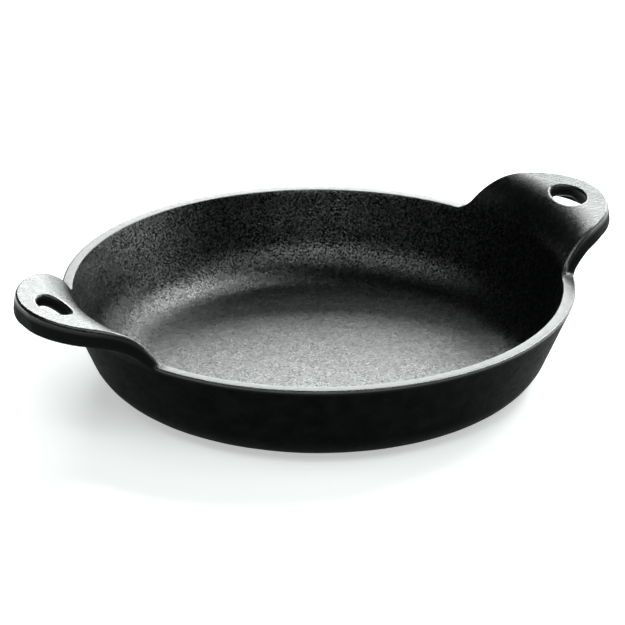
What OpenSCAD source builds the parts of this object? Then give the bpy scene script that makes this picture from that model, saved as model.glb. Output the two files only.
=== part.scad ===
// Two-handled round cast iron skillet, sand cast in one pour, with a ground rim.
// Origin: centre of the base, on the surface the pan stands on. +Z up, handles along +X and -X.
// The casting is drawn as its floor, base corner, side wall, two rim arcs and two handles,
// closed solids that meet face to face.

/* [Pan] */
// Diameter over the outside of the rim
rim_diameter = 165; // [140:1:200]
// Height of the rim above the surface the pan stands on
pan_height = 30.2; // [28:0.1:40]
// Thickness of the side wall, measured level
wall_width = 3.9; // [3.4:0.1:5]
// Thickness of the floor
floor_thickness = 4; // [3:0.1:5]
// Lean of the side wall away from upright, in degrees
wall_draft = 23.3; // [15:0.1:26]
// Outer radius of the corner between the base and the wall
outer_corner_radius = 15.7; // [10:0.1:17]
// Inner radius of the corner between the floor and the wall
inner_corner_radius = 18; // [12:0.1:20]
// Width of the bevel on the outer edge of the rim
rim_bevel_width = 0.8; // [0.4:0.1:1]
// Height of the bevel on the outer edge of the rim
rim_bevel_height = 0.5; // [0.3:0.1:1]
// Height of the band of wall that belongs to the rim
rim_band = 4.2; // [3:0.1:6]

/* [Handles] */
// Length of a handle along its top surface, from the level of the rim to the tip
handle_length = 30.8; // [28:0.1:34]
// Half the width of the grip
handle_half_width = 27.9; // [24:0.1:32]
// Length of the rounded end, along the top surface
round_end_length = 20.5; // [18:0.1:22]
// Flare of the sides towards the pan, in degrees
side_flare = 14.6; // [8:0.1:18]
// Radius where the sides run out into the rim
root_fillet = 5.1; // [4:0.1:6]
// Upright run above the rim before the bend begins
upright_run = 1.7; // [1:0.1:3]
// Radius of the bend, on the top surface
bend_radius = 18; // [15:0.1:20]
// Rise of the grip towards its tip, in degrees
grip_rise = 6.7; // [3:0.1:12]
// Thickness of the lip at the tip
tip_thickness = 6.7; // [5.5:0.1:8]
// Thickness of the plate inside the lip
plate_thickness = 4.2; // [3.8:0.1:5]
// Width of the lip around the underside of the grip
lip_width = 4.2; // [3:0.1:4.6]

/* [Hanging holes] */
// Width of the oval hole, across the handle
hole_width = 18.2; // [14:0.1:20]
// Length of the oval hole, along the handle
hole_length = 10.6; // [8:0.1:12]
// Distance of the hole's centre from the level of the rim, along the top surface
hole_distance = 20.5; // [19:0.1:22]

/* [Hidden] */
iron_black = [0.13, 0.14, 0.14];
iron_grey = [0.24, 0.26, 0.26];
ground_grey = [0.72, 0.75, 0.74];
$fn = 96;

rim_radius = rim_diameter / 2;
inner_rim_radius = rim_radius + rim_bevel_height * tan(wall_draft) - wall_width;
wall_thickness = wall_width * cos(wall_draft);
rim_bottom = pan_height - rim_band;
// The floor ends at this radius and the base corner begins
floor_radius = 57;
// The base corner ends at this height and the side wall begins
corner_height = 15;
// Half the stretch of rim that belongs to each handle, in degrees
handle_half_angle = 27;
// The handle's hidden cutting solids reach past it by this much
reach = 30;
// Steps along the handle's section, along each side of its outline and around its hole
section_steps = 10;
outline_steps = 8;
hole_steps = 28;

// Level radius of the outer and inner wall faces at a height
function outer_wall(z) = inner_wall(z) + wall_width;
function inner_wall(z) = inner_rim_radius - (pan_height - z) * tan(wall_draft);

// Centre radius of a corner that is tangent to a level face and to a wall face
function corner_centre(wall_foot, radius) =
    wall_foot - radius * (1 - sin(wall_draft)) / cos(wall_draft);

outer_centre = corner_centre(outer_wall(0), outer_corner_radius);
inner_centre = corner_centre(inner_wall(floor_thickness), inner_corner_radius);

// Slope of the handle's top surface above level, at a distance along it
wall_slope = 90 - wall_draft;
bend_run = bend_radius * (wall_slope - grip_rise) * PI / 180;
function slope_at(s) =
    max(grip_rise, wall_slope - max(0, s - upright_run) / bend_radius * 180 / PI);
function upright_at(s) = min(s, upright_run);
function level_at(s) = max(0, s - upright_run - bend_run);

// Radius and height of the handle's top surface at a distance along it
function top_radius(s) = inner_rim_radius + upright_at(s) * cos(wall_slope)
    + bend_radius * (sin(wall_slope) - sin(slope_at(s))) + level_at(s) * cos(grip_rise);
function top_height(s) = pan_height + upright_at(s) * sin(wall_slope)
    + bend_radius * (cos(slope_at(s)) - cos(wall_slope)) + level_at(s) * sin(grip_rise);

// The handle starts as thick as the wall and thickens towards its lip
function thickness_at(s) =
    wall_thickness + (tip_thickness - wall_thickness) * sqrt(s / handle_length);
function below_top(s, depth) =
    [top_radius(s) + depth * sin(slope_at(s)), top_height(s) - depth * cos(slope_at(s))];

// Outline of the handle, as half widths at distances along the top surface. The end is half an
// ellipse, the sides are straight and flared, and a fillet runs them out into the rim.
function end_width(inset) = handle_half_width - inset;
function end_length(inset) = round_end_length - inset;
function tangent_turn(inset) = atan(end_length(inset) / end_width(inset) * tan(side_flare));
function side_start(inset) = handle_length - round_end_length
    + end_length(inset) * sin(tangent_turn(inset));
function side_width(s, inset) = end_width(inset) * cos(tangent_turn(inset))
    + (side_start(inset) - s) * tan(side_flare);
root_width = side_width(root_fillet, 0) + root_fillet / cos(side_flare);
fillet_top = root_fillet * (1 - sin(side_flare));
function half_width(s) = s > fillet_top ? side_width(s, 0)
    : root_width - sqrt(pow(root_fillet, 2) - pow(s - root_fillet, 2));

// Where a point of the unrolled top surface lies, seen from above
function plan_point(v, s) = [sqrt(pow(top_radius(s), 2) - v * v), v];

// Where a corner's arc meets the wall
function corner_end(centre, level, radius) =
    [centre + radius * cos(wall_draft), level + radius - radius * sin(wall_draft)];

// Solid of revolution inside the outer faces of the pan, up to the rim band
module outer_body() {
    rotate_extrude()
        union() {
            intersection() {
                translate([outer_centre, outer_corner_radius])
                    circle(outer_corner_radius);
                square([rim_diameter, outer_corner_radius]);
            }
            polygon([
                [0, 0],
                [outer_centre, 0],
                [outer_centre, outer_corner_radius],
                corner_end(outer_centre, 0, outer_corner_radius),
                [outer_wall(rim_bottom), rim_bottom],
                [0, rim_bottom]
            ]);
        }
}

// Solid of revolution of the space inside the pan
module inner_space() {
    rotate_extrude()
        union() {
            intersection() {
                translate([inner_centre, floor_thickness + inner_corner_radius])
                    circle(inner_corner_radius);
                translate([0, floor_thickness])
                    square([rim_diameter, inner_corner_radius]);
            }
            polygon([
                [0, floor_thickness],
                [inner_centre, floor_thickness],
                [inner_centre, floor_thickness + inner_corner_radius],
                corner_end(inner_centre, floor_thickness, inner_corner_radius),
                [inner_wall(pan_height), pan_height],
                [0, pan_height]
            ]);
        }
}

// Flat disc that carries the food, and the face the pan rests on
module pan_floor() {
    color(iron_grey)
        difference() {
            cylinder(h = corner_height, r = floor_radius);
            inner_space();
        }
}

// Rounded ring that turns the floor up into the wall
module base_corner() {
    color(iron_black)
        difference() {
            intersection() {
                outer_body();
                cylinder(h = corner_height, r = rim_radius);
            }
            inner_space();
            translate([0, 0, -1])
                cylinder(h = pan_height, r = floor_radius);
        }
}

// Leaning wall between the base corner and the rim band
module side_wall() {
    color(iron_black)
        rotate_extrude()
            polygon([
                [inner_wall(corner_height), corner_height],
                [outer_wall(corner_height), corner_height],
                [outer_wall(rim_bottom), rim_bottom],
                [inner_wall(rim_bottom), rim_bottom]
            ]);
}

// One arc of ground rim, between the handles
module rim_arc(middle) {
    bevel_bottom = pan_height - rim_bevel_height;
    color(ground_grey)
        rotate([0, 0, middle - 90 + handle_half_angle])
            rotate_extrude(angle = 180 - 2 * handle_half_angle)
                polygon([
                    [inner_wall(rim_bottom), rim_bottom],
                    [outer_wall(rim_bottom), rim_bottom],
                    [outer_wall(bevel_bottom), bevel_bottom],
                    [rim_radius - rim_bevel_width, pan_height],
                    [inner_rim_radius, pan_height]
                ]);
}

module rim_front() {
    rim_arc(-90);
}

module rim_back() {
    rim_arc(90);
}

// Distances along the top surface: along the bend, then past the tip
function top_steps(from) = concat(
    [for (i = [0:section_steps]) from + (upright_run + bend_run - from) * i / section_steps],
    [handle_length + 1]
);

// Solid of revolution between the handle's top surface and its underside, with the rim below it
module handle_blank() {
    steps = top_steps(0);
    last = len(steps) - 1;
    section = concat(
        [[inner_wall(rim_bottom), rim_bottom]],
        [for (s = top_steps(upright_run)) [top_radius(s), top_height(s)]],
        [for (i = [0:last]) below_top(steps[last - i], thickness_at(steps[last - i]))],
        [[outer_wall(rim_bottom), rim_bottom]]
    );
    rotate([0, 0, -handle_half_angle])
        rotate_extrude(angle = 2 * handle_half_angle)
            polygon(section);
}

// Grip outline seen from above, from where the sides begin to the tip
module plan_outline(inset) {
    start = tangent_turn(inset);
    arc = [for (i = [-outline_steps:outline_steps])
        let (turn = 90 + i / outline_steps * (90 - start))
        plan_point(-end_width(inset) * cos(turn),
            handle_length - round_end_length + end_length(inset) * sin(turn))];
    back = arc[0][0];
    polygon(concat(
        [[back, -handle_half_width - reach]],
        arc,
        [[back, handle_half_width + reach],
        [back - reach, handle_half_width + reach],
        [back - reach, -handle_half_width - reach]]
    ));
}

// Root outline seen along the handle, from the rim up to where the grip's sides begin
module root_outline() {
    end = side_start(0);
    side = [for (i = [0:outline_steps])
        let (s = end * i / outline_steps)
        [half_width(s), top_height(s)]];
    right = concat([[root_width + reach, rim_bottom - 1], [root_width + reach, pan_height]],
        side, [[side[outline_steps][0], pan_height + reach]]);
    left = [for (i = [1:len(right)]) [-right[len(right) - i][0], right[len(right) - i][1]]];
    polygon(concat(right, left));
}

// Hollow under the grip, inside the lip, that lightens it and gives the fingers a hold
module grip_hollow() {
    first = root_fillet;
    steps = top_steps(first);
    last = len(steps) - 1;
    section = concat(
        [for (s = steps) below_top(s, plate_thickness)],
        [for (i = [0:last]) below_top(steps[last - i], thickness_at(steps[last - i]) + 2)]
    );
    half_turn = atan(side_width(first, lip_width) / inner_rim_radius);
    intersection() {
        rotate([0, 0, -half_turn])
            rotate_extrude(angle = 2 * half_turn)
                polygon(section);
        linear_extrude(pan_height + reach)
            plan_outline(lip_width);
    }
}

// Oval hanging hole, drawn straight up through the grip
module hanging_hole() {
    linear_extrude(pan_height + reach)
        polygon([for (i = [1:hole_steps])
            let (turn = 360 * i / hole_steps)
            plan_point(hole_width / 2 * cos(turn), hole_distance + hole_length / 2 * sin(turn))]);
}

// Handle towards +X: stretch of rim, bend and lipped grip with its hanging hole
module handle() {
    color(iron_grey)
        difference() {
            intersection() {
                handle_blank();
                linear_extrude(pan_height + reach)
                    plan_outline(0);
                rotate([90, 0, 90])
                    linear_extrude(rim_diameter)
                        root_outline();
            }
            grip_hollow();
            hanging_hole();
        }
}

module right_handle() {
    handle();
}

module left_handle() {
    rotate([0, 0, 180])
        handle();
}

pan_floor();
base_corner();
side_wall();
rim_front();
rim_back();
left_handle();
right_handle();
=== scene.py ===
"""Looks of the two-handled cast iron skillet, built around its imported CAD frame.

The casting has no joint lines, so its skin is computed once, as one closed surface with one set of
normals, and then cut into the CAD model's regions. Neighbouring pieces share every point and normal
along their seam. Lengths are in metres, angles in radians.
"""
import math
import bpy
import bmesh
import numpy as np
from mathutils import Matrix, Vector, noise


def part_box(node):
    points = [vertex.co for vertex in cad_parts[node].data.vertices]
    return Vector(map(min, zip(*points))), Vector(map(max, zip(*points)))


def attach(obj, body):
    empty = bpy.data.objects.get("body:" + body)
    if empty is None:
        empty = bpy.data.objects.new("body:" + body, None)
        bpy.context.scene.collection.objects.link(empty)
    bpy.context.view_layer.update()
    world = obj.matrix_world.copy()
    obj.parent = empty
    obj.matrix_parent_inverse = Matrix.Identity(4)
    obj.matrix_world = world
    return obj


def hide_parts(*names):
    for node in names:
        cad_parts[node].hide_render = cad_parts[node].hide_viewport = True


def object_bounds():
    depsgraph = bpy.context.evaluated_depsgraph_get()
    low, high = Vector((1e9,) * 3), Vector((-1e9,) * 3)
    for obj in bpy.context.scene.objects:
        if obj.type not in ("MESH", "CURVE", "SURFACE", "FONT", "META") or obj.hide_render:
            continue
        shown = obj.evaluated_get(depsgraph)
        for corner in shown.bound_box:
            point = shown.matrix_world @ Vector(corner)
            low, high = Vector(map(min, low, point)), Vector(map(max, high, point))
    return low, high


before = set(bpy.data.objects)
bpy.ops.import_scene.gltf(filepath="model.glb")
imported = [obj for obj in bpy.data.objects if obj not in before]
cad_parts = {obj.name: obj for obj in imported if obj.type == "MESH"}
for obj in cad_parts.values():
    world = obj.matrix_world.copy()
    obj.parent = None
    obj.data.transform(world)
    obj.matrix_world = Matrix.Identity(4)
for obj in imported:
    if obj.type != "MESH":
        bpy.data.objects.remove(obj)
cad_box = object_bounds()

MM = 0.001
SURFACES = ("inner", "outer", "edge")

# ---------------------------------------------------------------- sizes from the frame

RIM_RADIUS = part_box("rim_back")[1].y
PAN_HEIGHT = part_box("rim_back")[1].z
RIM_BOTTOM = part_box("rim_back")[0].z
CORNER_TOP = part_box("side_wall")[0].z
TIP_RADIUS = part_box("right_handle")[1].x
BASE_CENTRE_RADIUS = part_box("pan_floor")[1].x

# ---------------------------------------------------------------- sizes of the casting

FLOOR_THICKNESS = 4.0 * MM
WALL_WIDTH = 3.9 * MM
WALL_DRAFT = math.radians(23.3)
WALL_SLOPE = math.pi / 2 - WALL_DRAFT
OUTER_CORNER = 15.7 * MM
INNER_CORNER = 18.0 * MM
RIM_BEVEL_WIDTH = 0.8 * MM
RIM_BEVEL_HEIGHT = 0.5 * MM
RIM_INNER_EDGE = 0.25 * MM
INNER_RIM = RIM_RADIUS + RIM_BEVEL_HEIGHT * math.tan(WALL_DRAFT) - WALL_WIDTH
WALL_THICKNESS = WALL_WIDTH * math.cos(WALL_DRAFT)
# How far in from the wall's face the rim's outer bevel is pulled where it is sharpest
RIM_BEVEL_PULL = 0.1 * MM

EDGE_ROUNDING = 0.8 * MM
EDGE_DEPTH = 1.3 * MM
UPRIGHT_RUN = 1.7 * MM
BEND_RADIUS = 18.0 * MM
GRIP_RISE = math.radians(6.7)
BEND_RUN = BEND_RADIUS * (WALL_SLOPE - GRIP_RISE)
HALF_WIDTH = 27.2 * MM
END_LENGTH = 19.8 * MM
SIDE_FLARE = math.radians(14.6)
ROOT_FILLET = 5.1 * MM
TIP_THICKNESS = 6.7 * MM
PLATE_THICKNESS = 4.2 * MM
LIP_WIDTH = 3.9 * MM
LIP_RUN = 0.7 * MM
# How softly the lip starts to thicken at the rim, and how early along the handle it is thick
LIP_SOFTNESS = 0.05
LIP_GROWTH = 0.6
HOLE_HALF_WIDTH = 9.1 * MM
HOLE_HALF_LENGTH = 5.3 * MM
HOLE_DISTANCE = 20.4 * MM
HOLE_ROUNDING = 0.9 * MM
# How far outside the hole's outline its rounded edge starts
HOLE_MARGIN = HOLE_ROUNDING / 4
MOULD_SHIFT = 0.3 * MM
RELIEF_COARSE = 0.045 * MM
RELIEF_FINE = 0.018 * MM
COARSE_WAVE = 9.0 * MM
FINE_WAVE = 2.6 * MM
# Share of the relief left on the ground rim, and on the base below a level just above its underside
RIM_RELIEF = 0.1
BASE_RELIEF = 0.3
BASE_LEVEL = 0.1 * MM

# ---------------------------------------------------------------- spacing of the mesh

STEP = 1.1 * MM
RIM_STEP = 1.2 * STEP
SECTOR = math.radians(27.0)
HANDLE_COLUMNS = 65
SIDE_ROWS = 12
SIDE_TOP = 4.0 * MM
END_POINTS = 72
RINGS = 36
EDGE_POINTS = 12
HOLE_POINTS = 10
CURVE_POINTS = 3

# ---------------------------------------------------------------- what the surface is like

# Across the rim, across the handle's edge and down the hole: 1 ground flat, 0 glossy, -1 matt.
# The third table is painted highlight: the ground flat's lighter grey carried on up the first stretch
# of the handle's edge, where the grinding has ended and the rounded edge only glints.
GLOSSY = 0.0
MATT = -1.0
RIM_GLOSS = (0.2, 0.4, 0.7, 1, 1, 1, 1, -0.3, 0.3, 0.3, -0.5, -1)
HANDLE_GLOSS = (0, 0, 0, -0.2, -0.7, -1, -1, -1, -1, -1, -1, -1)
# painted highlight: the ground flat's grey carried past the grinding along the handle's edge
PAINTED_GLINT_ROWS = (1, 1, 1, 0.8, 0, 0, 0, 0, 0, 0, 0, 0)
HOLE_GLOSS = (0, 0, -0.3, -0.8, -1, -1, -1, -0.8, -0.5, -0.5)

# How far up a handle's edge the flat of the rim reaches, how far it fades, and how far the painted
# highlight past it fades
GROUND_END = 1.2 * MM
GROUND_FADE = 2.6 * MM
PAINTED_GLINT_FADE = 7.0 * MM

# Turn of the noise away from the axes, so that its own grid doesn't show
GRAIN_TURN = (0.6, 0.9, 0.4)

# Grain of the cast surfaces, how deep the bumps are that show it, and the size of duller patches
SAND_GRAIN = 0.7 * MM
SAND_PORE = 0.55 * MM
SAND_DEPTH = 0.13 * MM
SAND_PATCH = 3 * MM
FINE_GRAIN = 0.3 * MM
FINE_DEPTH = 0.02 * MM
SKIN_GRAIN = 0.8 * MM
SKIN_DEPTH = 0.12 * MM
SKIN_TINT_PATCH = 6 * MM
SKIN_PATCH = 2 * MM
EDGE_GRAIN = 0.6 * MM
EDGE_PATCH = 1.5 * MM
TORN_GRAIN = 0.7 * MM

# Heights over which the sand grain changes, from floor to wall and from rim to grip
FLOOR_END = 5 * MM
WALL_START = 13 * MM
GRAIN_FADE_START = PAN_HEIGHT - 1 * MM
GRIP_START = PAN_HEIGHT + 8 * MM

# ---------------------------------------------------------------- camera and lights

VIEW_TURN = math.radians(28.62)
VIEW_RISE = math.radians(23.62)
VIEW_DISTANCE = 16.565 * RIM_RADIUS
LENS = 245.0
SENSOR = 36.0
# How far right of and above the middle of the picture the rim's centre stands
AIM_RIGHT = 2.0 * MM
AIM_UP = 9.5 * MM
VIEW_RIGHT = np.array([math.cos(VIEW_TURN), -math.sin(VIEW_TURN), 0.0])
VIEW_BEHIND = np.array([math.sin(VIEW_TURN), math.cos(VIEW_TURN), 0.0])

LIGHT_COLOR = (0.97, 1.0, 0.992)
SOFTBOX_DISTANCE = 1.3
SOFTBOX_WIDTH = 0.7
WORLD_LIGHT = 0.02
STUDIO_FLOOR_SIZE = 12.0
STUDIO_FLOOR_GAP = 0.05 * MM
STUDIO_FLOOR_GLOW = 0.5
STUDIO_FLOOR_PATCH = 0.15
STUDIO_FLOOR_GRAIN = 4 * MM


# ---------------------------------------------------------------- shape of the casting

def inner_wall(z):
    """Level radius of the wall's inner face at a height."""
    return INNER_RIM - (PAN_HEIGHT - z) * math.tan(WALL_DRAFT)


def outer_wall(z):
    """Level radius of the wall's outer face at a height."""
    return inner_wall(z) + WALL_WIDTH


# Where the handle's top surface starts, as a distance along it and a level radius, and how far along
# it the tip is
START = -RIM_INNER_EDGE / math.sin(WALL_SLOPE)
START_RADIUS = inner_wall(PAN_HEIGHT - RIM_INNER_EDGE)
HANDLE_LENGTH = (
    (TIP_RADIUS - EDGE_ROUNDING - INNER_RIM - UPRIGHT_RUN * math.cos(WALL_SLOPE)
     - BEND_RADIUS * (math.sin(WALL_SLOPE) - math.sin(GRIP_RISE))) / math.cos(GRIP_RISE)
    + UPRIGHT_RUN + BEND_RUN
)


def slope_at(s):
    """Rise of the handle's top surface above level, at distances s along it from the rim's level."""
    turned = np.clip((s - UPRIGHT_RUN) / BEND_RADIUS, 0, WALL_SLOPE - GRIP_RISE)
    return WALL_SLOPE - turned


def top_profile(s):
    """Radius and height of the top surface at distances s."""
    slope = slope_at(s)
    upright = np.minimum(s, UPRIGHT_RUN)
    level = np.maximum(s - UPRIGHT_RUN - BEND_RUN, 0)
    radius = (INNER_RIM + upright * math.cos(WALL_SLOPE)
              + BEND_RADIUS * (math.sin(WALL_SLOPE) - np.sin(slope)) + level * math.cos(GRIP_RISE))
    height = (PAN_HEIGHT + upright * math.sin(WALL_SLOPE)
              + BEND_RADIUS * (np.cos(slope) - math.cos(WALL_SLOPE)) + level * math.sin(GRIP_RISE))
    return radius, height


def smooth(x):
    """0 up to 0, 1 from 1 on, and an even curve between."""
    x = np.clip(x, 0, 1)
    return x * x * (3 - 2 * x)


def lip_thickness(s):
    """Thickness along the handle's edge: the wall's at the rim, growing to the tip's."""
    share = np.clip((s - START) / HANDLE_LENGTH, 0, 1)
    growth = np.sqrt(share ** 2 + LIP_SOFTNESS ** 2) - LIP_SOFTNESS
    return WALL_THICKNESS + (TIP_THICKNESS - WALL_THICKNESS) * growth ** LIP_GROWTH


# Where the straight sides run into the rounded end: the turn round the end, and the distance along
TANGENT_TURN = math.atan(END_LENGTH / HALF_WIDTH * math.tan(SIDE_FLARE))
END_CENTRE = HANDLE_LENGTH - END_LENGTH
SIDE_START = END_CENTRE + END_LENGTH * math.sin(TANGENT_TURN)


def side_width(s):
    """Half the width between the handle's straight sides at s."""
    return HALF_WIDTH * math.cos(TANGENT_TURN) + (SIDE_START - s) * math.tan(SIDE_FLARE)


# Half the width at the rim, and how far up the fillets reach
ROOT_WIDTH = side_width(START + ROOT_FILLET) + ROOT_FILLET / math.cos(SIDE_FLARE)
FILLET_TOP = START + ROOT_FILLET * (1 - math.sin(SIDE_FLARE))


def half_width(s):
    """Half the handle's width at s, with the fillet that runs its side out into the rim."""
    if s > FILLET_TOP:
        return side_width(s)
    return ROOT_WIDTH - math.sqrt(max(ROOT_FILLET ** 2 - (s - START - ROOT_FILLET) ** 2, 0))


def end_outline():
    """Outline of the grip above the fillets, as (v, s), from the -v side round the tip."""
    count = int((SIDE_START - SIDE_TOP) / STEP) + 1
    side = [(side_width(s), s) for s in np.linspace(SIDE_TOP, SIDE_START, count + 1)[:-1]]
    turns = np.linspace(TANGENT_TURN, math.pi - TANGENT_TURN, END_POINTS)
    end = [(HALF_WIDTH * math.cos(t), END_CENTRE + END_LENGTH * math.sin(t)) for t in turns]
    right = side + end + [(-v, s) for v, s in reversed(side)]
    return np.array(right[::-1])


def frame_at(v, s):
    """Points of the top surface and the direction into the metal there, in the handle's own frame."""
    radius, height = top_profile(s)
    slope = slope_at(s)
    x = np.sqrt(radius ** 2 - v ** 2)
    point = np.stack([x, v, height], -1)
    out = np.stack([x / radius, v / radius, np.zeros_like(v)], -1)
    into = out * np.sin(slope)[..., None]
    into[..., 2] = -np.cos(slope)
    return point, into


def turned(points, angle):
    """The points turned round the pan's axis."""
    c, s = math.cos(angle), math.sin(angle)
    out = points.copy()
    out[..., 0] = c * points[..., 0] - s * points[..., 1]
    out[..., 1] = s * points[..., 0] + c * points[..., 1]
    return out


# ---------------------------------------------------------------- the skin of the casting

class Skin:
    """Points, faces and region names of the casting's one closed surface."""

    def __init__(self):
        self.points, self.shift, self.relief, self.ground = [], [], [], []
        self.faces, self.region, self.side = [], [], []
        self.count = 0

    def add(self, points, shift=0.0, relief=1.0, ground=0.0):
        """Adds a grid of points. shift is their share of the mould's shift, relief of the cast relief.
        ground is 1 where the rim was ground flat and where its grey is painted on up a handle's edge
        as a highlight, 0 on glossy cast skin and -1 on matt cast skin."""
        shape = points.shape[:-1]
        ids = np.arange(self.count, self.count + int(np.prod(shape))).reshape(shape)
        self.points.append(points.reshape(-1, 3))
        self.shift.append(np.broadcast_to(shift, shape).reshape(-1))
        self.relief.append(np.broadcast_to(relief, shape).reshape(-1))
        self.ground.append(np.broadcast_to(ground, shape).reshape(-1))
        self.count += ids.size
        return ids

    def quads(self, ids, region, side):
        """Faces between the rows and columns of a grid of ids."""
        quads = np.stack([ids[:-1, :-1], ids[:-1, 1:], ids[1:, 1:], ids[1:, :-1]], -1)
        self.own(quads.reshape(-1, 4).tolist(), region, side)

    def fan(self, middle, ring, region, side):
        """Triangles from the one id in middle to each step of a ring of ids."""
        self.own([[int(middle[0]), int(a), int(b)] for a, b in zip(ring, ring[1:])], region, side)

    def own(self, faces, region, side):
        """Adds faces of a region, on the casting's inner side, outer side or edge."""
        self.faces += faces
        self.region += [region] * len(faces)
        self.side += [side] * len(faces)


def stretch(start, end, step=STEP):
    """Points from start up to, but without, end."""
    start, end = np.array(start, float), np.array(end, float)
    count = max(int(np.linalg.norm(end - start) / step), 1)
    return [tuple(start + (end - start) * i / count) for i in range(count)]


def corner(centre, level, radius, first_radius=None):
    """Arc that turns up from a level face, from a level radius on, up to the wall's slope."""
    first = 0 if first_radius is None else math.asin((first_radius - centre) / radius)
    count = max(int(radius * (WALL_SLOPE - first) / STEP), 2)
    turns = np.linspace(first, WALL_SLOPE, count + 1)[:-1]
    return [(centre + radius * math.sin(t), level + radius - radius * math.cos(t)) for t in turns]


def corner_centre(wall_foot, radius):
    """Level radius of the middle of a corner, from where its wall would meet the level face."""
    return wall_foot - radius * (1 - math.sin(WALL_DRAFT)) / math.cos(WALL_DRAFT)


def inner_rows():
    """The inner face's section, as {region: [(radius, height), ...]}, from the middle to the rim."""
    centre = corner_centre(inner_wall(FLOOR_THICKNESS), INNER_CORNER)
    split = corner(centre, FLOOR_THICKNESS, INNER_CORNER, BASE_CENTRE_RADIUS)[0]
    arc_end = FLOOR_THICKNESS + INNER_CORNER * (1 - math.sin(WALL_DRAFT))
    return {
        "pan_floor": stretch((STEP, FLOOR_THICKNESS), (centre, FLOOR_THICKNESS))
        + stretch((centre, FLOOR_THICKNESS), split, STEP / 2),
        "base_corner": corner(centre, FLOOR_THICKNESS, INNER_CORNER, BASE_CENTRE_RADIUS)
        + stretch((inner_wall(arc_end), arc_end), (inner_wall(CORNER_TOP), CORNER_TOP)),
        "side_wall": stretch((inner_wall(CORNER_TOP), CORNER_TOP),
                             (inner_wall(RIM_BOTTOM), RIM_BOTTOM)),
        "band": stretch((inner_wall(RIM_BOTTOM), RIM_BOTTOM), top_edge()) + [top_edge()],
    }


def outer_rows():
    """The outer face's section, in the same form."""
    centre = corner_centre(outer_wall(0), OUTER_CORNER)
    arc_end = OUTER_CORNER * (1 - math.sin(WALL_DRAFT))
    return {
        "pan_floor": stretch((STEP, 0), (BASE_CENTRE_RADIUS, 0)),
        "base_corner": stretch((BASE_CENTRE_RADIUS, 0), (centre, 0))
        + corner(centre, 0, OUTER_CORNER)
        + stretch((outer_wall(arc_end), arc_end), (outer_wall(CORNER_TOP), CORNER_TOP)),
        "side_wall": stretch((outer_wall(CORNER_TOP), CORNER_TOP),
                             (outer_wall(RIM_BOTTOM), RIM_BOTTOM)),
        "band": stretch((outer_wall(RIM_BOTTOM), RIM_BOTTOM), low_edge()) + [low_edge()],
    }


def top_edge():
    """Where the rim's rounded inner edge has run out into the wall's inner face."""
    return START_RADIUS, PAN_HEIGHT - RIM_INNER_EDGE


def low_edge():
    """Where the rim's rounded outer edge has run out into the wall's outer face."""
    radius, height = top_edge()
    return (radius + WALL_THICKNESS * math.cos(WALL_DRAFT),
            height - WALL_THICKNESS * math.sin(WALL_DRAFT))


def bezier(a, b, c, count):
    """Points inside a quadratic curve from a to c."""
    t = np.linspace(0, 1, count + 2)[1:-1, None]
    a, b, c = (np.array(p, float) for p in (a, b, c))
    return (1 - t) ** 2 * a + 2 * t * (1 - t) * b + t * t * c


def rim_edge_path():
    """Across the rim from its inner edge, as EDGE_POINTS (level, up) steps away from top_edge()."""
    radius, height = top_edge()
    inner = np.array([INNER_RIM + RIM_INNER_EDGE, PAN_HEIGHT])
    outer = np.array([RIM_RADIUS - RIM_BEVEL_WIDTH, PAN_HEIGHT])
    wall = np.array([RIM_RADIUS, PAN_HEIGHT - RIM_BEVEL_HEIGHT])
    path = np.vstack([
        bezier((radius, height), (INNER_RIM, PAN_HEIGHT), inner, CURVE_POINTS),
        inner, inner + (outer - inner) / 3, inner + (outer - inner) * 2 / 3, outer,
        bezier(outer, (RIM_RADIUS - RIM_BEVEL_PULL, PAN_HEIGHT), wall, CURVE_POINTS),
        wall, (wall + np.array(low_edge())) / 2,
    ])
    return path - np.array([radius, height])


def rounded_edge_path(thickness, rounding, depth, count):
    """Across a rounded edge face, as count (outward, into the metal) steps from the top edge."""
    curve = (count - 2) // 2
    turns = np.linspace(-math.pi / 2, 0, curve + 1)[1:]
    top = np.stack([rounding * np.cos(turns), depth + depth * np.sin(turns)], -1)
    low = top[::-1] * (1, -1)
    top = np.broadcast_to(top, thickness.shape + top.shape)
    low = np.broadcast_to(low, thickness.shape + low.shape).copy()
    low[..., 1] += thickness[..., None]
    third = (low[..., :1, :] - top[..., -1:, :]) / 3
    return np.concatenate([top, top[..., -1:, :] + third, top[..., -1:, :] + 2 * third, low], -2)


def distance_to_outline(v, s, outline):
    """How far points of the unrolled handle lie inside its outline."""
    points = np.stack([v.reshape(-1), s.reshape(-1)], -1)
    gaps = points[:, None, :] - outline[None, :, :]
    return np.sqrt((gaps ** 2).sum(-1)).min(1).reshape(v.shape)


def thickness_at(v, s, outline):
    """Thickness of the handle: the lip's near the outline, the plate's inside it."""
    lip = lip_thickness(s)
    inside = smooth((distance_to_outline(v, s, outline) - LIP_WIDTH) / LIP_RUN)
    hollow = inside * smooth((s - SIDE_TOP / 2) / (2 * SIDE_TOP))
    return lip - np.maximum(lip - PLATE_THICKNESS, 0) * hollow


def section_surface(rows, columns):
    """Grid of points of a section turned round the pan's axis."""
    section = np.array([p for region in rows.values() for p in region])
    radius, height = section[:, 0][:, None], section[:, 1][:, None]
    flat = np.ones(len(columns))
    return np.stack([radius * np.cos(columns), radius * np.sin(columns), height * flat], -1)


class Edge:
    """The casting's edge, point by point along rim and handles."""

    def __init__(self):
        self.top, self.low = [], []
        self.depth, self.thickness = [], []
        self.flat, self.trace = [], []

    def follow(self, top, low, depth, thickness, flat, trace):
        """Goes on along a stretch: ids of its top and low points, the direction into the metal and
        how thick it is, and how much of the ground flat and of the highlight painted past it each
        point shows."""
        self.top += [int(i) for i in top]
        self.low += [int(i) for i in low]
        self.depth += list(depth)
        self.thickness += list(thickness)
        self.flat += list(flat)
        self.trace += list(trace)


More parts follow.
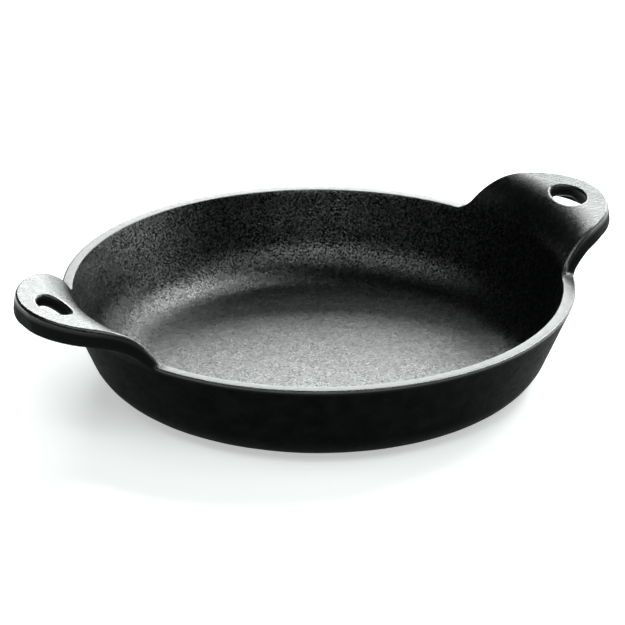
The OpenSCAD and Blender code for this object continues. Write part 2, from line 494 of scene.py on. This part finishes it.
def build_skin():
    """The casting's whole surface, and the faces that cut its regions apart, by region."""
    skin = Skin()
    spread = np.arcsin(np.linspace(-1, 1, HANDLE_COLUMNS) * ROOT_WIDTH / START_RADIUS)
    rim_count = int(RIM_RADIUS * (math.pi - 2 * SECTOR) / RIM_STEP)
    arc = np.linspace(SECTOR, math.pi - SECTOR, rim_count + 1)
    columns = np.concatenate([spread, arc, math.pi + spread, math.pi + arc])
    owner = (["right_handle"] * HANDLE_COLUMNS + ["rim_back"] * rim_count
             + ["left_handle"] * (HANDLE_COLUMNS + 1) + ["rim_front"] * rim_count + ["right_handle"])
    caps = {name: [] for name in ("pan_floor", "base_corner", "side_wall", *sorted(set(owner)))}
    faces = {
        "inner": add_pan_face(skin, "inner", inner_rows(), columns, owner),
        "outer": add_pan_face(skin, "outer", outer_rows(), columns, owner),
    }
    add_ring_cuts(caps, faces, owner)

    edge = Edge()
    depth = np.stack([math.sin(WALL_SLOPE) * np.cos(columns), math.sin(WALL_SLOPE) * np.sin(columns),
                      np.full(len(columns), -math.cos(WALL_SLOPE))], -1)
    top_row, low_row = faces["inner"][0][-1], faces["outer"][0][-1]
    full = np.ones(len(arc))
    for name, first in (("right_handle", 0), ("left_handle", HANDLE_COLUMNS + len(arc))):
        root = slice(first, first + HANDLE_COLUMNS)
        middle = columns[first + HANDLE_COLUMNS // 2]
        edge.follow(*add_handle(skin, name, middle, top_row[root], low_row[root]))
        rim = slice(root.stop, root.stop + len(arc))
        edge.follow(top_row[rim], low_row[rim], depth[rim], WALL_THICKNESS * full, full, full)
    add_edge(skin, edge, caps, faces, len(arc))
    return skin, caps


def add_pan_face(skin, side, rows, columns, owner):
    """Adds the pan's inner or outer face. Returns its ids and the row where each region starts."""
    shift = 1.0 if side == "inner" else 0.0
    grid = section_surface(rows, columns)
    relief = np.where(grid[..., 2] < BASE_LEVEL, BASE_RELIEF, 1.0)
    ids = skin.add(grid, shift, relief, GLOSSY if side == "inner" else MATT)
    ids = np.hstack([ids, ids[:, :1]])
    starts = np.cumsum([0] + [len(region) for region in rows.values()])
    for region, start, end in zip(rows, starts, starts[1:]):
        if region == "band":
            for j, name in enumerate(owner):
                skin.quads(ids[start:end, j:j + 2], name, side)
        else:
            skin.quads(ids[start:end + 1], region, side)
    middle = skin.add(np.array([[0, 0, rows["pan_floor"][0][1]]]), shift, 0.0)
    skin.fan(middle, ids[0], "pan_floor", side)
    return ids, starts


def add_ring_cuts(caps, faces, owner):
    """Adds the cuts between the pan's regions. Both neighbours of a cut share its points."""
    inner, inner_starts = faces["inner"]
    outer, outer_starts = faces["outer"]
    names = list(inner_rows())
    for i, (below, above) in enumerate(zip(names, names[1:]), 1):
        low, high = inner[inner_starts[i]], outer[outer_starts[i]]
        for j, name in enumerate(owner):
            cut = [int(k) for k in (low[j], low[j + 1], high[j + 1], high[j])]
            caps[below].append(cut)
            caps[name if above == "band" else above].append(cut)


def add_handle(skin, name, angle, top_row, low_row):
    """Adds a handle above its stretch of the rim's edge. Returns its edge, point by point."""
    across = np.linspace(-1, 1, HANDLE_COLUMNS)
    outline = end_outline()
    rise = START + (SIDE_TOP - START) * (np.arange(1, SIDE_ROWS + 1) / SIDE_ROWS) ** 2
    widths = np.array([half_width(s) for s in rise])
    sides = np.vstack([np.stack([-widths, rise], -1), outline, np.stack([widths, rise], -1)[::-1]])

    def sheet(v, s):
        """Top and underside points over places on the unrolled handle."""
        point, into = frame_at(v, s)
        low = point + into * thickness_at(v, s, sides)[..., None]
        shift = 1 - smooth(s / (2 * SIDE_TOP))
        return skin.add(turned(point, angle), shift), skin.add(turned(low, angle), ground=MATT)

    # the band between the fillets
    v = across[None, :] * widths[:, None]
    s = np.broadcast_to(rise[:, None], v.shape)
    top, low = sheet(v, s)
    skin.quads(np.vstack([top_row, top]), name, "inner")
    skin.quads(np.vstack([low_row, low]), name, "outer")

    # rings from the outline in to the hole
    end = outline[1:-1]
    base = np.stack([v[-1], s[-1]], -1)
    ring = np.vstack([base, end[::-1]])
    gap = ring - (0, HOLE_DISTANCE)
    hole = gap / np.hypot(gap[:, 0] / (HOLE_HALF_WIDTH + HOLE_MARGIN),
                          gap[:, 1] / (HOLE_HALF_LENGTH + HOLE_MARGIN))[:, None]
    share = (np.arange(1, RINGS + 1) / RINGS)[:, None, None]
    rings = ring + (hole + (0, HOLE_DISTANCE) - ring) * share
    outer_top, outer_low = sheet(end[:, 0], end[:, 1])
    ring_top, ring_low = sheet(rings[..., 0], rings[..., 1])
    for side, row, outer_end, body in (("inner", top, outer_top, ring_top),
                                       ("outer", low, outer_low, ring_low)):
        first = np.concatenate([row[-1], outer_end[::-1]])
        grid = np.vstack([first, body])
        skin.quads(np.hstack([grid, grid[:, :1]]), name, side)

    # the wall of the hole, with rounded edges
    v, s = rings[-1][:, 0], rings[-1][:, 1]
    point, into = frame_at(v, s)
    thickness = thickness_at(v, s, sides)
    along = np.roll(point, -1, 0) - np.roll(point, 1, 0)
    inward = np.cross(into, along)
    inward /= np.linalg.norm(inward, axis=1)[:, None]
    centre = point.mean(0)
    inward *= np.sign(((centre - point) * inward).sum(1))[:, None]
    path = rounded_edge_path(thickness, HOLE_ROUNDING, HOLE_ROUNDING, HOLE_POINTS)
    wall = (point[:, None, :] + path[..., :1] * inward[:, None, :] + path[..., 1:] * into[:, None, :])
    wall_ids = skin.add(turned(wall.transpose(1, 0, 2), angle), ground=np.array(HOLE_GLOSS)[:, None])
    grid = np.vstack([ring_top[-1], wall_ids, ring_low[-1]])
    skin.quads(np.hstack([grid, grid[:, :1]]), name, "edge")

    # the edge, from one end of the rim round the grip to the other
    top_ids = [top_row[0], *top[:, 0], *outer_top, *top[::-1, -1], top_row[-1]]
    low_ids = [low_row[0], *low[:, 0], *outer_low, *low[::-1, -1], low_row[-1]]
    left = np.stack([-widths, rise], -1)
    right = np.stack([widths, rise], -1)[::-1]
    places = np.vstack([(-ROOT_WIDTH, START), left, end, right, (ROOT_WIDTH, START)])
    _, into = frame_at(places[:, 0], places[:, 1])
    thickness = thickness_at(places[:, 0], places[:, 1], sides)
    run = np.concatenate([[0], np.cumsum(np.hypot(*np.diff(places, axis=0).T))])
    run = np.minimum(run, run[-1] - run)
    flat = 1 - smooth((run - GROUND_END) / GROUND_FADE)
    # painted highlight: how much of the ground grey is painted on past the flat, for the glint along
    # the rounded edge
    trace = 1 - smooth((run - GROUND_END) / PAINTED_GLINT_FADE)
    return top_ids, low_ids, turned(into, angle), thickness, flat, trace


def add_edge(skin, edge, caps, faces, arc_count):
    """Adds the face along the whole edge: ground flat on the rim, rounded on the handles."""
    all_points = np.vstack(skin.points)
    top = all_points[edge.top]
    depth, thickness = np.array(edge.depth), np.array(edge.thickness)
    flat = np.array(edge.flat)[:, None, None]
    along = np.roll(top, -1, 0) - np.roll(top, 1, 0)
    outward = np.cross(along, depth)
    outward /= np.linalg.norm(outward, axis=1)[:, None]
    outward *= np.sign(outward[np.array(edge.flat) == 1][:, 2].mean())
    path = rounded_edge_path(thickness, EDGE_ROUNDING, EDGE_DEPTH, EDGE_POINTS)
    rounded = path[..., :1] * outward[:, None, :] + path[..., 1:] * depth[:, None, :]
    level = top * (1, 1, 0) / np.linalg.norm(top[:, :2], axis=1)[:, None]
    steps = rim_edge_path()
    ground = steps[None, :, :1] * level[:, None, :] + steps[None, :, 1:] * np.array([0, 0, 1.0])
    points = top[:, None, :] + flat * ground + (1 - flat) * rounded
    share = 1 - np.arange(1, EDGE_POINTS + 1) / (EDGE_POINTS + 1)
    all_shift = np.concatenate(skin.shift)[edge.top]
    flat = flat[:, :, 0].T
    # the ground grey painted on up the handle's edge past the grinding, as a highlight
    trace = np.array(edge.trace)[None, :]
    handle = np.array(HANDLE_GLOSS)[:, None] + np.array(PAINTED_GLINT_ROWS)[:, None] * trace
    surface = flat * np.array(RIM_GLOSS)[:, None] + (1 - flat) * handle
    ids = skin.add(points.transpose(1, 0, 2), share[:, None] * all_shift[None, :],
                   1 - (1 - RIM_RELIEF) * flat * np.ones((EDGE_POINTS, 1)), surface)
    grid = np.vstack([edge.top, ids, edge.low])
    grid = np.hstack([grid, grid[:, :1]])

    # whose each stretch of the edge is, and the upright cuts between rim and handle
    handle_count = len(edge.top) // 2 - arc_count
    start = 0
    for name, rim in (("right_handle", "rim_back"), ("left_handle", "rim_front")):
        other = "left_handle" if name == "right_handle" else "right_handle"
        middle = start + handle_count
        end = middle + arc_count - 1
        skin.quads(grid[:, start:middle + 1], name, "edge")
        skin.quads(grid[:, middle:end + 1], rim, "edge")
        skin.quads(grid[:, end:end + 2], other, "edge")
        for column, pair in ((middle, (name, rim)), (end, (rim, other))):
            cut = upright_cut(grid[:, column], faces)
            for owner in pair:
                caps[owner].append(cut)
        start = end + 1


def upright_cut(column, faces):
    """The face that cuts the rim band across at one column of the edge."""
    loop = [int(i) for i in column]
    inner, inner_starts = faces["inner"]
    outer, outer_starts = faces["outer"]
    j = int(np.where(inner[-1] == column[0])[0][0])
    low = [int(i) for i in outer[outer_starts[3]:-1, j]][::-1]
    high = [int(i) for i in inner[inner_starts[3]:-1, j]]
    return high + loop + low


# ---------------------------------------------------------------- from skin to pieces

def closed_mesh(name, points, faces):
    """A mesh whose faces all look outward."""
    mesh = bpy.data.meshes.new(name)
    mesh.from_pydata([tuple(p) for p in points], [], faces)
    work = bmesh.new()
    work.from_mesh(mesh)
    bmesh.ops.recalc_face_normals(work, faces=work.faces[:])
    work.to_mesh(mesh)
    work.free()
    mesh.polygons.foreach_set("use_smooth", [True] * len(mesh.polygons))
    mesh.update()
    return mesh


def vertex_normals(mesh):
    """The smooth normal at each vertex, as rows."""
    normals = np.zeros(len(mesh.vertices) * 3)
    mesh.vertex_normals.foreach_get("vector", normals)
    return normals.reshape(-1, 3)


def cast_relief(points, amount):
    """Height of the uneven cast surface at each point."""
    heights = np.zeros(len(points))
    for i, (point, share) in enumerate(zip(points, amount)):
        if share > 0:
            p = Vector(point)
            heights[i] = share * (RELIEF_COARSE * noise.noise(p / COARSE_WAVE)
                                  + RELIEF_FINE * noise.noise(p / FINE_WAVE))
    return heights


def shaped_skin(skin):
    """The skin's final points and normals, with the mould's shift and the cast relief."""
    points = np.vstack(skin.points)
    shift = np.concatenate(skin.shift)[:, None]
    points = points - shift * MOULD_SHIFT * VIEW_RIGHT
    mesh = closed_mesh("skin", points, skin.faces)
    heights = cast_relief(points, np.concatenate(skin.relief))
    points = points + heights[:, None] * vertex_normals(mesh)
    points = np.clip(points, *np.array(cad_box))
    mesh.vertices.foreach_set("co", points.reshape(-1))
    mesh.update()
    normals = vertex_normals(mesh)
    bpy.data.meshes.remove(mesh)
    return points, normals


def build_pieces(skin, caps, materials):
    """Cuts the skin into one closed piece for each region, which stands for that CAD node."""
    points, normals = shaped_skin(skin)
    region, side = np.array(skin.region), np.array(skin.side)
    ground = np.concatenate(skin.ground)
    for name in sorted(caps):
        chosen = np.where(region == name)[0]
        faces = [skin.faces[i] for i in chosen] + caps[name]
        used = np.unique(np.concatenate([np.array(f) for f in faces]))
        new_id = {int(old): i for i, old in enumerate(used)}
        mesh = closed_mesh(name + "_casting", points[used], [[new_id[i] for i in f] for f in faces])
        loops = np.zeros(len(mesh.loops), int)
        mesh.loops.foreach_get("vertex_index", loops)
        loop_normals = normals[used][loops]
        for polygon in list(mesh.polygons)[len(chosen):]:
            loop_normals[polygon.loop_start:polygon.loop_start + polygon.loop_total] = polygon.normal
        mesh.normals_split_custom_set(loop_normals.tolist())
        attribute = mesh.attributes.new("ground", "FLOAT", "POINT")
        attribute.data.foreach_set("value", ground[used])
        for surface in SURFACES:
            mesh.materials.append(materials[surface])
        index = [SURFACES.index(face_side) for face_side in side[chosen]]
        index += [SURFACES.index("outer")] * len(caps[name])
        mesh.polygons.foreach_set("material_index", index)
        piece = bpy.data.objects.new(name + "_casting", mesh)
        bpy.context.scene.collection.objects.link(piece)
        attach(piece, "root")
        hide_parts(name)


# ---------------------------------------------------------------- materials

class Nodes:
    """Short calls for building a node tree."""

    def __init__(self, name):
        self.material = bpy.data.materials.new(name)
        self.material.use_nodes = True
        self.tree = self.material.node_tree
        self.tree.nodes.clear()
        self.position = self.node("ShaderNodeTexCoord").outputs["Object"]
        turned = self.node("ShaderNodeMapping")
        turned.inputs["Rotation"].default_value = GRAIN_TURN
        self.put(turned, "Vector", self.position)
        self.coordinates = turned.outputs[0]

    def node(self, kind, **settings):
        node = self.tree.nodes.new(kind)
        for key, value in settings.items():
            setattr(node, key, value)
        return node

    def put(self, node, key, value):
        """Links a socket of a node to another's output, or sets its value."""
        socket = node.inputs[key]
        if isinstance(value, bpy.types.NodeSocket):
            self.tree.links.new(value, socket)
        else:
            socket.default_value = value

    def noise(self, size, detail=2.0, roughness=0.5):
        """Noise whose features are size metres across."""
        node = self.node("ShaderNodeTexNoise")
        node.inputs["Scale"].default_value = 1 / size
        node.inputs["Detail"].default_value = detail
        node.inputs["Roughness"].default_value = roughness
        self.put(node, "Vector", self.coordinates)
        return node.outputs["Fac"]

    def cells(self, size):
        """Distance from the middles of soft cells that are size metres across."""
        node = self.node("ShaderNodeTexVoronoi", feature="SMOOTH_F1")
        node.inputs["Scale"].default_value = 1 / size
        node.inputs["Smoothness"].default_value = 0.6
        self.put(node, "Vector", self.coordinates)
        return node.outputs["Distance"]

    def math(self, operation, a, b):
        node = self.node("ShaderNodeMath", operation=operation)
        self.put(node, 0, a)
        self.put(node, 1, b)
        return node.outputs[0]

    def between(self, value, low, high, to_low=0.0, to_high=1.0):
        """Runs evenly from to_low to to_high as value goes from low to high, and stays there."""
        node = self.node("ShaderNodeMapRange")
        node.inputs["From Min"].default_value = low
        node.inputs["From Max"].default_value = high
        node.inputs["To Min"].default_value = to_low
        node.inputs["To Max"].default_value = to_high
        self.put(node, "Value", value)
        return node.outputs[0]

    def height(self):
        """Height above the surface that the pan stands on."""
        node = self.node("ShaderNodeSeparateXYZ")
        self.put(node, "Vector", self.position)
        return node.outputs["Z"]

    def mix(self, factor, a, b):
        """Colour from a to b. Sockets 0, 6 and 7 are the node's factor and its two colours."""
        node = self.node("ShaderNodeMix", data_type="RGBA")
        self.put(node, 0, factor)
        node.inputs[6].default_value = (*a, 1)
        node.inputs[7].default_value = (*b, 1)
        return node.outputs[2]

    def bump(self, height, depth, normal=None):
        """Bump of a height that runs from 0 to 1 over depth metres."""
        node = self.node("ShaderNodeBump")
        node.inputs["Strength"].default_value = 1.0
        node.inputs["Distance"].default_value = depth
        self.put(node, "Height", height)
        if normal:
            self.put(node, "Normal", normal)
        return node.outputs[0]

    def shader(self, color, roughness, normal, specular, ior=1.5):
        shader = self.node("ShaderNodeBsdfPrincipled")
        self.put(shader, "Specular IOR Level", specular)
        shader.inputs["IOR"].default_value = ior
        self.put(shader, "Base Color", color)
        self.put(shader, "Roughness", roughness)
        self.put(shader, "Normal", normal)
        return shader

    def finish(self, shader):
        """The material, with this shader as its surface."""
        out = self.node("ShaderNodeOutputMaterial")
        self.tree.links.new(shader.outputs[0], out.inputs["Surface"])
        return self.material


def sand_cast_iron():
    """Inside of the pan: coarse sand grain under black seasoning, finer and duller up the handles."""
    n = Nodes("sand_cast_iron")
    height = n.height()
    grain = n.math("ADD", n.noise(SAND_GRAIN, 3.0, 0.65), n.math("MULTIPLY", n.cells(SAND_PORE), 0.6))
    grain = n.math("MULTIPLY", grain, n.between(height, GRAIN_FADE_START, GRIP_START, 1.0, 0.6))
    normal = n.bump(n.noise(FINE_GRAIN), FINE_DEPTH, n.bump(grain, SAND_DEPTH))
    rough = n.between(n.noise(SAND_PATCH, 3.0), 0.3, 0.7, 0.24, 0.30)

    # dark and shiny specks, fainter on the floor and on the grips
    speckle = n.math("SUBTRACT", n.noise(SAND_GRAIN, 2.0, 0.7), 0.5)
    speckle = n.math("MULTIPLY", speckle, n.between(height, PAN_HEIGHT, GRIP_START, 1.0, 0.15))
    speckle = n.math("MULTIPLY", speckle, n.between(height, FLOOR_END, WALL_START, 0.5, 1.0))
    dark, light = (0.0008, 0.001, 0.001), (0.005, 0.006, 0.006)
    color = n.mix(n.between(speckle, -0.05, 0.16), dark, light)
    shine = n.between(speckle, -0.09, 0.13, 0.02, 1.3)
    shine = n.math("MULTIPLY", shine, n.between(height, PAN_HEIGHT, GRIP_START, 1.0, 0.62))
    return n.finish(n.shader(color, rough, normal, shine))


def outer_iron():
    """Outside of the pan: smoother cast skin, nearly black."""
    n = Nodes("outer_iron")
    dark, light = (0.0015, 0.002, 0.002), (0.004, 0.005, 0.005)
    color = n.mix(n.between(n.noise(SKIN_TINT_PATCH, 3.0), 0.35, 0.7), dark, light)
    rough = n.between(n.noise(SKIN_PATCH, 3.0), 0.3, 0.7, 0.42, 0.55)
    normal = n.bump(n.noise(SKIN_GRAIN, 3.0, 0.6), SKIN_DEPTH)
    return n.finish(n.shader(color, rough, normal, 0.02, ior=1.3))


def edge_iron():
    """Rounded edges of the handles, and the rim, whose top is ground flat to a lighter grey."""
    n = Nodes("edge_iron")
    mask = n.node("ShaderNodeAttribute", attribute_name="ground").outputs["Fac"]

    # ground is 1 on the flat of the rim, with a torn border, and also where its grey is painted on up
    # the handle's edge as a highlight
    torn = n.math("ADD", mask, n.between(n.noise(TORN_GRAIN, 3.0), 0.3, 0.7, -0.35, 0.35))
    ground = n.between(torn, 0.45, 0.6)
    # the ground flat's own grey, which also paints the highlight up the handle's edge
    cast_black, ground_and_glint_grey = (0.004, 0.005, 0.005), (0.034, 0.037, 0.036)
    color = n.mix(ground, cast_black, ground_and_glint_grey)
    matt_part = n.between(mask, -1.0, -0.3, 0.4, 0.0)
    ground_part = n.between(ground, 0.0, 1.0, 0.0, 0.12)
    rough = n.between(n.noise(EDGE_PATCH, 3.0), 0.3, 0.7, 0.18, 0.26)
    rough = n.math("ADD", rough, n.math("ADD", matt_part, ground_part))
    grain = n.math("MULTIPLY", n.noise(EDGE_GRAIN, 3.0), n.between(ground, 0.0, 1.0, 1.0, 0.3))
    shine = n.between(mask, -1.0, -0.3, 0.04, 1.0)
    shine = n.math("MULTIPLY", shine, n.between(ground, 0.0, 1.0, 0.9, 0.36))
    return n.finish(n.shader(color, rough, n.bump(grain, SKIN_DEPTH), shine))


def pale_floor():
    """Pale floor of a light table, which glows a little from below."""
    n = Nodes("pale_floor")
    color = n.mix(n.noise(STUDIO_FLOOR_PATCH), (0.91, 0.92, 0.92), (0.93, 0.93, 0.93))
    shader = n.shader(color, 0.6, n.bump(n.noise(STUDIO_FLOOR_GRAIN), FINE_DEPTH), 0.2)
    shader.inputs["Emission Color"].default_value = (*LIGHT_COLOR, 1)
    shader.inputs["Emission Strength"].default_value = STUDIO_FLOOR_GLOW
    return n.finish(shader)


# ---------------------------------------------------------------- studio

def add_floor():
    bpy.ops.mesh.primitive_plane_add(size=STUDIO_FLOOR_SIZE, location=(0, 0, -STUDIO_FLOOR_GAP))
    floor = bpy.context.object
    floor.name = "studio_floor"
    floor.data.materials.append(pale_floor())


def add_softbox(name, turn, rise, height, radiance):
    """A softbox that faces the pan. turn is its direction from straight behind the pan, to the right,
    as the camera sees it, and rise is how far it stands above level, both in degrees."""
    data = bpy.data.lights.new(name, "AREA")
    data.shape = "RECTANGLE"
    data.size, data.size_y = SOFTBOX_WIDTH, height
    data.energy = radiance * math.pi * SOFTBOX_WIDTH * height
    data.color = LIGHT_COLOR
    turn, rise = math.radians(turn), math.radians(rise)
    level = VIEW_RIGHT * math.sin(turn) + VIEW_BEHIND * math.cos(turn)
    place = level * math.cos(rise) + np.array([0, 0, math.sin(rise)])
    lamp = bpy.data.objects.new(name, data)
    bpy.context.scene.collection.objects.link(lamp)
    lamp.location = place * SOFTBOX_DISTANCE
    lamp.rotation_euler = (-lamp.location).to_track_quat("-Z", "Y").to_euler()


def add_lights():
    add_softbox("back", 5, 21, 0.5, 10.5)
    add_softbox("back_high", 14, 42, 0.35, 2.0)
    add_softbox("back_right_high", 40, 48, 0.35, 15.0)
    add_softbox("back_right_low", 36, 15, 0.45, 5.0)
    add_softbox("right_low", 80, 15, 0.45, 3.5)
    add_softbox("front_high", 180, 54, 0.6, 3.5)
    add_softbox("front_left", -115, 55, 0.6, 2.0)
    add_softbox("front_right", 120, 55, 0.6, 1.5)
    world = bpy.data.worlds.new("studio")
    world.use_nodes = True
    background = world.node_tree.nodes["Background"]
    background.inputs["Color"].default_value = (1, 1, 1, 1)
    background.inputs["Strength"].default_value = WORLD_LIGHT
    bpy.context.scene.world = world


def add_camera():
    data = bpy.data.cameras.new("camera")
    data.lens, data.sensor_width = LENS, SENSOR
    camera = bpy.data.objects.new("camera", data)
    bpy.context.scene.collection.objects.link(camera)
    rim_centre = Vector((0, 0, PAN_HEIGHT))
    away = Vector((-math.sin(VIEW_TURN) * math.cos(VIEW_RISE),
                   -math.cos(VIEW_TURN) * math.cos(VIEW_RISE), math.sin(VIEW_RISE)))
    camera.location = rim_centre + away * VIEW_DISTANCE
    up = away.cross(Vector(VIEW_RIGHT))
    aim = rim_centre - Vector(VIEW_RIGHT) * AIM_RIGHT - up * AIM_UP
    camera.rotation_euler = (aim - camera.location).to_track_quat("-Z", "Y").to_euler()
    bpy.context.scene.camera = camera


add_camera()
add_floor()
add_lights()
build_pieces(*build_skin(), {
    "inner": sand_cast_iron(), "outer": outer_iron(), "edge": edge_iron(),
})
bpy.context.scene.view_settings.view_transform = "Standard"
